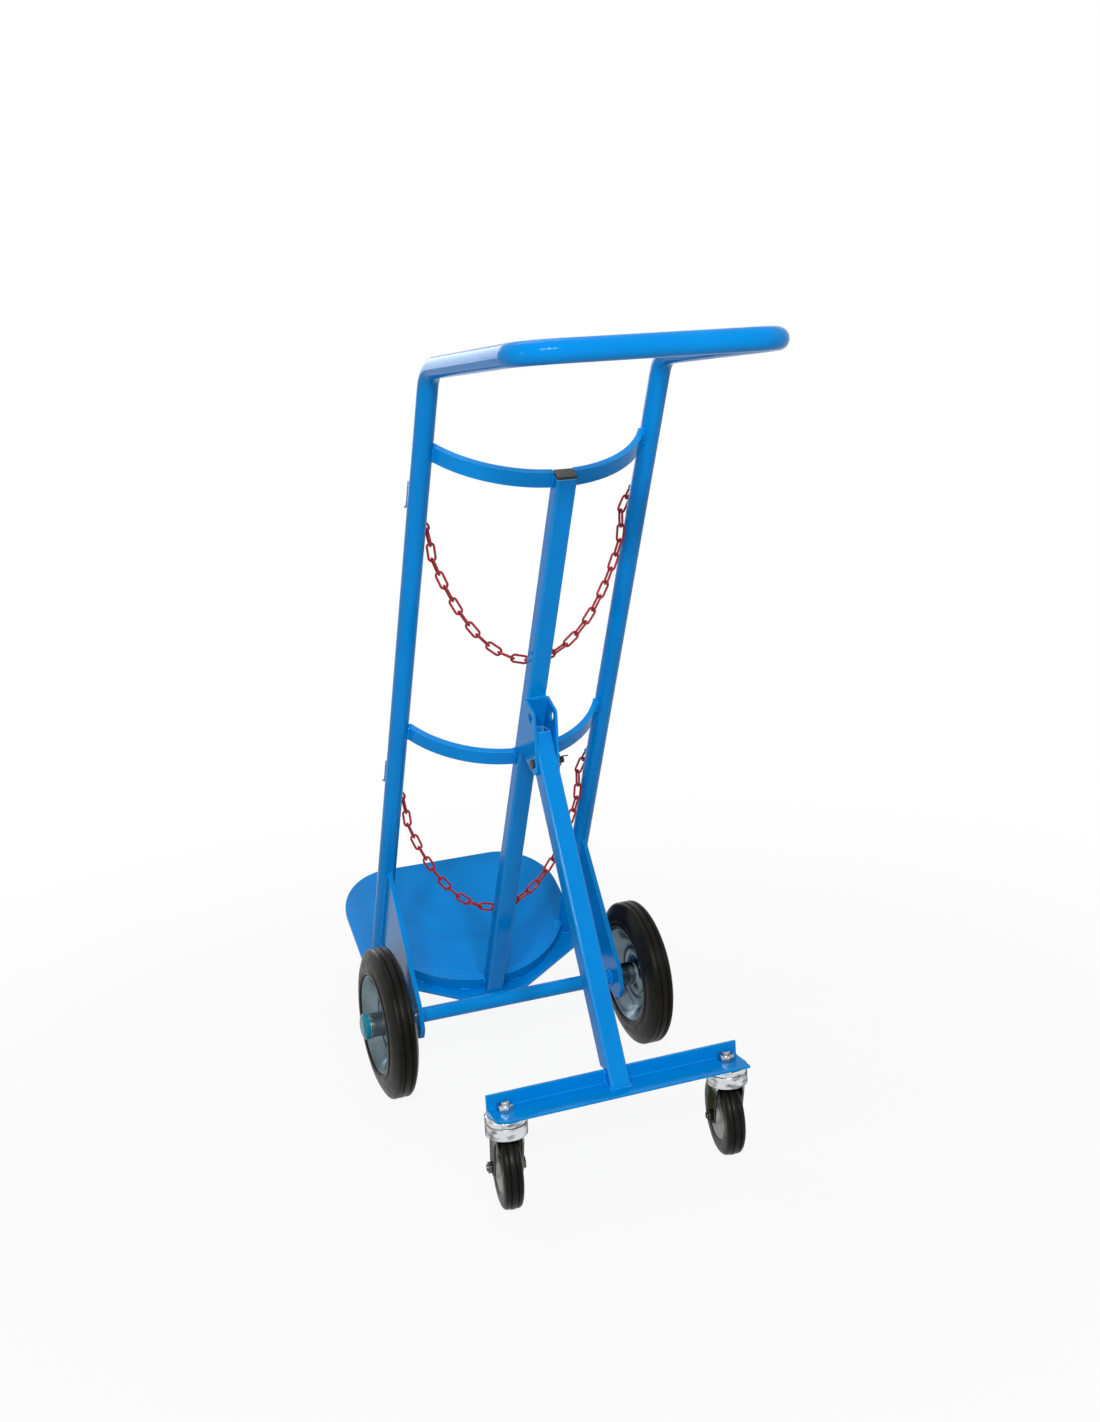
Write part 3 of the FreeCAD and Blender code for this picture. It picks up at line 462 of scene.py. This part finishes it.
seams = []
for side in (-1, 1):
    for top in (UPPER_TOP, LOWER_TOP, RIM_TOP):
        seams.append(upright_seam(side * 134.0, 157.0, top - BAR_SEAM_LOW, top - BAR_SEAM_HIGH))
        seams.append(upright_seam(side * 13.4, 79.4, top - BAR_SEAM_LOW, top - BAR_SEAM_HIGH))
    bead = LOWER_TOP + BEAD_LIFT
    seams.append([mm(side * 13.2, 80.5, bead), mm(side * 13.2, 86.5, bead)])
    for bead in (LOWER_TOP + BEAD_LIFT, UPPER_TOP + BEAD_LIFT):
        seams.append([mm(side * 133.4, 158.5, bead), mm(side * 132.2, 163.0, bead)])
weld_on("cradle_welds", seams, 2.3, lean_back, "frame")

seams = []
for side in (-1, 1):
    for face in GUSSET_FACES:
        seams.append(upright_seam(side * face, 151.4, 2, 121))
    seams.append(round_seam(mm(side * GUSSET_FACES[0], 0, 0), 10.8, 0, NEARLY_ROUND, "X"))
weld_on("gusset_welds", seams, 2.6, lean_back, "frame")

seams = [[mm(-13, 66.6, 474.6), mm(13, 66.6, 474.6)]]
for side in (-1, 1):
    seams.append(upright_seam(side * 13.6, 68.2, 402, 471))
weld_on("bracket_welds", seams, 2.4, lean_back, "frame")

seams = []
for side in (-1, 1):
    seams.append(round_seam(mm(side * 145, 164, PLATE_SEAM), 13.0, 0, NEARLY_ROUND, "Z"))
    seams.append([mm(side * 13.0, 67.0, PLATE_SEAM), mm(side * 13.0, 79.0, PLATE_SEAM)])
    for first in (-78, -52, -26):
        facing = -90 + side * (90 + first)
        seams.append(round_seam(mm(0, PLATE_MIDDLE, PLATE_SEAM), 154.6, facing, facing + side * 6, "Z"))
seams.append([mm(-12, 66.9, PLATE_SEAM), mm(12, 66.9, PLATE_SEAM)])
weld_on("foot_welds", seams, 2.4, lean_back, "frame")

seams = []
for end in CHAIN_ENDS:
    seams.append(upright_seam(-154.9, 172.8, end + 13, end + 36))
    for across in (139, 151):
        seams.append(upright_seam(across, 173.6, end - 1.5, end + 1.5))
weld_on("fastening_welds", seams, 1.9, lean_back, "frame")

seams = [
    [mm(-13.0, -351.0, BEAM_SEAM), mm(-13.0, -370.2, BEAM_SEAM)],
    [mm(-12.0, -371.4, BEAM_SEAM), mm(12.0, -371.4, BEAM_SEAM)],
    [mm(13.0, -370.2, BEAM_SEAM), mm(13.0, -351.0, BEAM_SEAM)],
    upright_seam(-13.0, -350.0, 126, 139),
    upright_seam(13.0, -350.0, 126, 139),
]
weld_on("leg_foot_weld", seams, 2.5, stand_behind, "leg")
bpy.data.objects.remove(weld_drop)

# Mast cap: lid with rounded rim, and the plug inside the mast
LID_TOP = 0.795
LID_HIGH = 0.003
PLUG_DEEP = 0.012

bpy.ops.object.select_all(action="DESELECT")
bpy.ops.mesh.primitive_cube_add(size=1.0, location=(0, 0.0775, LID_TOP - LID_HIGH / 2), scale=(0.025, 0.020, LID_HIGH))
mast_lid = bpy.context.object
settle(mast_lid)
pick_edges(mast_lid, lambda a, b: abs(a.z - b.z) > 0.002)
bpy.ops.mesh.bevel(offset=0.0025, segments=4, affect="EDGES")
bpy.ops.object.mode_set(mode="OBJECT")
pick_faces(mast_lid, lambda middle, facing: facing.z < -0.9)
bpy.ops.mesh.inset(thickness=0.0021)
bpy.ops.mesh.extrude_region_move(TRANSFORM_OT_translate={"value": (0, 0, -PLUG_DEEP)})
bpy.ops.object.mode_set(mode="OBJECT")
pick_edges(mast_lid, lambda a, b: min(a.z, b.z) > LID_TOP - 0.0001)
bpy.ops.mesh.bevel(offset=0.0012, segments=3, affect="EDGES")
bpy.ops.object.mode_set(mode="OBJECT")
lean_back(mast_lid)
put_on(mast_lid, "mast_lid", "black_plastic", "frame")
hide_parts("mast_cap")

# Castor nuts: a hexagon with its corners turned off at the top, bored for the bolt
NUT_PLACE = mm(-142.5, -360.6, 128)
NUT_HIGH = 0.008
NUT_RADIUS = 0.00981
TURNED_RADIUS = 0.00985
BORE_RADIUS = 0.00505
NUTS_APART = 0.285

bpy.ops.object.select_all(action="DESELECT")
bpy.ops.mesh.primitive_cylinder_add(vertices=48, radius=TURNED_RADIUS, depth=NUT_HIGH, location=NUT_PLACE)
turned_blank = bpy.context.object
settle(turned_blank)
pick_edges(turned_blank, lambda a, b: min(a.z, b.z) > NUT_PLACE.z + NUT_HIGH / 2 - 0.0001)
bpy.ops.mesh.bevel(offset=0.0013, segments=2, affect="EDGES")
bpy.ops.object.mode_set(mode="OBJECT")
bpy.ops.object.select_all(action="DESELECT")
bpy.ops.mesh.primitive_cylinder_add(vertices=48, radius=BORE_RADIUS, depth=NUT_HIGH * 1.5, location=NUT_PLACE)
bolt_room = bpy.context.object
bpy.ops.object.select_all(action="DESELECT")
bpy.ops.mesh.primitive_cylinder_add(vertices=6, radius=NUT_RADIUS, depth=NUT_HIGH, location=NUT_PLACE)
left_nut = bpy.context.object
finish_with(left_nut, "BOOLEAN", operation="INTERSECT", object=turned_blank, solver="EXACT")
finish_with(left_nut, "BOOLEAN", operation="DIFFERENCE", object=bolt_room, solver="EXACT")
bpy.data.objects.remove(turned_blank)
bpy.data.objects.remove(bolt_room)
right_nut = left_nut.copy()
right_nut.data = left_nut.data.copy()
right_nut.location.x = right_nut.location.x + NUTS_APART
scene.collection.objects.link(right_nut)
for nut, name in ((left_nut, "left_nut"), (right_nut, "right_nut")):
    stand_behind(nut)
    put_on(nut, name, "zinc", "leg")
    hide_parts("castor_nuts")


# Wheels. Each ring of a turned piece is given in millimetres as (distance from the wheel's middle, radius).
WHEEL_STEPS = 144
CASTOR_STEPS = 128
PARKED_SWIVEL = math.radians(-8.5)


def turned(rings, steps):
    """A closed ring drawn about the X axis, pulled out from one circle to the next."""
    bpy.ops.object.select_all(action="DESELECT")
    first_along, first_radius = rings[0]
    bpy.ops.mesh.primitive_circle_add(vertices=steps, radius=first_radius / 1000, rotation=(0, math.pi / 2, 0))
    piece = bpy.context.object
    settle(piece)
    bpy.ops.object.mode_set(mode="EDIT")
    bpy.ops.mesh.select_all(action="SELECT")
    bpy.ops.transform.translate(value=(first_along / 1000, 0, 0))
    for (along, radius), (next_along, next_radius) in zip(rings, rings[1:] + rings[:1]):
        bpy.ops.mesh.extrude_region_move(TRANSFORM_OT_translate={"value": ((next_along - along) / 1000, 0, 0)})
        bpy.ops.transform.resize(value=(1, next_radius / radius, next_radius / radius))
    bpy.ops.mesh.select_all(action="SELECT")
    bpy.ops.mesh.remove_doubles(threshold=0.00001)
    bpy.ops.mesh.normals_make_consistent(inside=False)
    bpy.ops.object.mode_set(mode="OBJECT")
    return piece


def both_sides(half):
    """The rings of one side, and the same mirrored on the other side."""
    return half + [(-along, radius) for along, radius in reversed(half)]


def middle_of(node):
    """Middle of a CAD node's box."""
    low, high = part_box(node)
    return (Vector(low) + Vector(high)) / 2


def fit_wheels(piece, part, slot, finish, body, swivel=0.0):
    """Put one turned piece, swivelled if asked, in place of the same CAD node on the left and on the right."""
    for side in ("left", "right"):
        node = side + "_" + part
        copy = piece.copy()
        copy.data = piece.data.copy()
        scene.collection.objects.link(copy)
        copy.rotation_euler = (0, 0, swivel + (math.pi if side == "right" else 0.0))
        copy.location = middle_of(node)
        settle(copy)
        put_on(copy, node + "_turned", slot, side + "_" + body, finish)
        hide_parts(node)
    bpy.data.objects.remove(piece)


tyre_half = [
    (9.5, 60.2), (14.4, 64.8), (16.2, 66.4), (19.2, 66.4), (20.0, 67.2), (20.4, 69.0), (20.5, 72.0), (20.4, 74.0),
    (20.0, 74.8), (19.2, 75.3), (18.9, 76.2), (18.8, 79.0), (18.3, 82.5), (17.4, 85.8), (16.2, 89.0), (14.9, 92.0),
    (13.7, 94.6), (12.7, 96.6), (11.6, 98.3), (10.4, 99.4), (9.2, 99.9), (7.6, 99.98), (6.5, 99.8), (6.0, 99.2),
    (5.7, 98.2), (5.2, 97.8), (4.4, 97.8), (3.9, 98.2), (3.6, 99.2), (3.1, 99.8), (2.0, 99.98),
]
fit_wheels(turned(both_sides(tyre_half), WHEEL_STEPS), "tyre", "rubber", "rubber", "wheel")

rim_half = [
    (7.5, 16.2), (4.6, 17.4), (2.7, 19.4), (1.5, 22.4), (1.0, 26.5), (1.0, 29.0), (1.5, 30.2), (2.3, 31.4),
    (2.5, 32.6), (2.3, 33.8), (1.5, 35.0), (1.0, 36.2), (1.0, 40.0), (1.3, 43.0), (2.2, 45.8), (4.0, 48.6),
    (6.8, 51.4), (10.0, 54.2), (13.0, 57.0), (15.2, 59.6), (16.6, 61.6), (17.2, 62.4), (17.9, 63.2), (18.3, 64.2),
    (18.4, 65.2), (18.0, 65.8), (17.2, 65.9), (16.6, 65.5), (15.6, 64.6), (14.6, 64.4), (9.0, 58.8), (3.0, 52.0),
]
# The rims take the darker zinc copy with painted shade and reflection
fit_wheels(turned(both_sides(rim_half), WHEEL_STEPS), "rim", "zinc", "rim_zinc_painted_shade", "wheel")

castor_tyre_half = [
    (11.0, 30.2), (11.7, 30.6), (12.0, 31.6), (12.0, 40.0), (11.8, 43.2), (11.1, 45.6), (10.1, 47.4), (8.7, 48.7),
    (7.1, 49.3), (5.7, 49.4), (5.0, 49.3), (4.7, 48.7), (4.4, 48.0), (4.0, 47.8), (3.6, 48.0), (3.3, 48.8), (3.0, 49.6),
    (2.3, 49.9), (1.2, 49.98),
]
castor_tyre = turned(both_sides(castor_tyre_half), CASTOR_STEPS)
fit_wheels(castor_tyre, "castor_tyre", "castor_rubber", "castor_rubber", "castor_wheel", PARKED_SWIVEL)


# Floor, lights and background
def camera_or_mirror(tree):
    """One for rays that show the background itself, nought for those that only light the object."""
    rays = tree.nodes.new("ShaderNodeLightPath")
    seen = rays.outputs["Is Camera Ray"]
    for ray in ("Is Glossy Ray", "Is Transmission Ray"):
        either = tree.nodes.new("ShaderNodeMath")
        either.operation = "MAXIMUM"
        tree.links.new(seen, either.inputs[0])
        tree.links.new(rays.outputs[ray], either.inputs[1])
        seen = either.outputs[0]
    return seen


bpy.ops.object.select_all(action="DESELECT")
bpy.ops.mesh.primitive_plane_add(size=14.0, location=(0, 0, -0.0004))
floor = bpy.context.object
floor.name = "floor"
paper = bpy.data.materials.new("floor_paper")
paper.use_nodes = True
tree = paper.node_tree
tree.nodes.clear()
ground = tree.nodes.new("ShaderNodeBsdfDiffuse")
ground.inputs["Color"].default_value = (0.55, 0.55, 0.55, 1)
glow = tree.nodes.new("ShaderNodeEmission")
glow.inputs["Color"].default_value = (1, 1, 1, 1)
place = tree.nodes.new("ShaderNodeTexCoord")
apart = tree.nodes.new("ShaderNodeVectorMath")
apart.operation = "LENGTH"
tree.links.new(place.outputs["Object"], apart.inputs[0])
fade = tree.nodes.new("ShaderNodeMapRange")
fade.interpolation_type = "SMOOTHSTEP"
fade.inputs["From Min"].default_value = 0.35
fade.inputs["From Max"].default_value = 1.6
fade.inputs["To Min"].default_value = 0.91
fade.inputs["To Max"].default_value = 1.0
tree.links.new(apart.outputs["Value"], fade.inputs["Value"])
share = tree.nodes.new("ShaderNodeMath")
share.operation = "MULTIPLY"
tree.links.new(camera_or_mirror(tree), share.inputs[0])
tree.links.new(fade.outputs["Result"], share.inputs[1])
mix = tree.nodes.new("ShaderNodeMixShader")
tree.links.new(share.outputs[0], mix.inputs["Fac"])
tree.links.new(ground.outputs[0], mix.inputs[1])
tree.links.new(glow.outputs[0], mix.inputs[2])
out = tree.nodes.new("ShaderNodeOutputMaterial")
tree.links.new(mix.outputs[0], out.inputs["Surface"])
floor.data.materials.append(paper)

world = bpy.data.worlds.new("studio")
world.use_nodes = True
scene.world = world
tree = world.node_tree
tree.nodes.clear()
white = tree.nodes.new("ShaderNodeBackground")
white.inputs["Color"].default_value = (1, 1, 1, 1)
soft = tree.nodes.new("ShaderNodeBackground")
soft.inputs["Color"].default_value = (0.96, 0.98, 1, 1)
soft.inputs["Strength"].default_value = 0.14
mix = tree.nodes.new("ShaderNodeMixShader")
tree.links.new(camera_or_mirror(tree), mix.inputs["Fac"])
tree.links.new(soft.outputs[0], mix.inputs[1])
tree.links.new(white.outputs[0], mix.inputs[2])
out = tree.nodes.new("ShaderNodeOutputWorld")
tree.links.new(mix.outputs[0], out.inputs["Surface"])


def softbox(name, place, aim, wide, high, power):
    """A lamp panel turned to face a point."""
    lamp = bpy.data.lights.new(name, "AREA")
    lamp.shape = "RECTANGLE"
    lamp.size = wide
    lamp.size_y = high
    lamp.energy = power
    holder = bpy.data.objects.new(name, lamp)
    holder.location = place
    holder.rotation_euler = (Vector(aim) - Vector(place)).to_track_quat("-Z", "Y").to_euler()
    scene.collection.objects.link(holder)


TROLLEY_MIDDLE = (0, 0, 0.5)
UPPER_HALF = (0, 0, 0.7)
PLATE = (0, 0.35, 0.15)
softbox("key_lamp", (-1.1, -3.1, 2.5), TROLLEY_MIDDLE, 1.4, 1.4, 20)
softbox("fill_lamp", (2.6, -1.2, 2.0), TROLLEY_MIDDLE, 1.6, 1.6, 2)
softbox("top_lamp", (-0.1, 0.7, 3.0), PLATE, 1.6, 1.6, 22)
softbox("back_lamp", (-0.6, 3.2, 1.4), TROLLEY_MIDDLE, 1.8, 1.8, 30)
softbox("side_strip", (-2.5, -0.9, 0.9), TROLLEY_MIDDLE, 0.25, 1.5, 8)
softbox("left_spark", (-1.7, -2.9, 2.4), UPPER_HALF, 0.32, 0.32, 33)
softbox("middle_spark", (-1.0, -3.1, 2.5), UPPER_HALF, 0.32, 0.32, 33)
softbox("right_spark", (-0.2, -3.2, 2.5), UPPER_HALF, 0.32, 0.32, 33)
